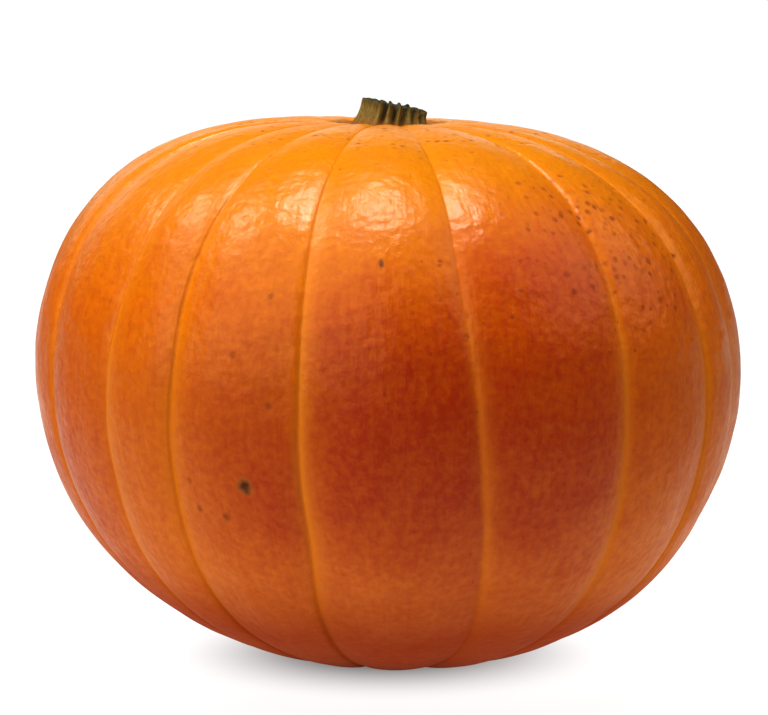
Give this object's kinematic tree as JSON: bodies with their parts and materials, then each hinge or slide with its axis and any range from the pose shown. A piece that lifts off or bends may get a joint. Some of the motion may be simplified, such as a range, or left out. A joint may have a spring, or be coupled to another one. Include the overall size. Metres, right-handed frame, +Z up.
{
  "type": "pumpkin",
  "caption": "Whole ripe orange pumpkin: a squat ribbed fruit with a dished top, a flat spot underneath and a short ridged, obliquely cut stem.",
  "frame": {"origin": "on the resting plane, under the middle of the fruit", "axes": "+Z up along the fruit's own axis towards the stem, -Y towards the pictured side, +X to that side's right"},
  "size_m": [0.2798, 0.2735, 0.2222],
  "materials": {
    "rind": "smooth waxy orange rind, semi-gloss",
    "stem": "dry ridged olive-brown stalk, matt"
  },
  "bodies": {
    "root": {"fruit": "rind", "stem": "stem"}
  },
  "joints": []
}
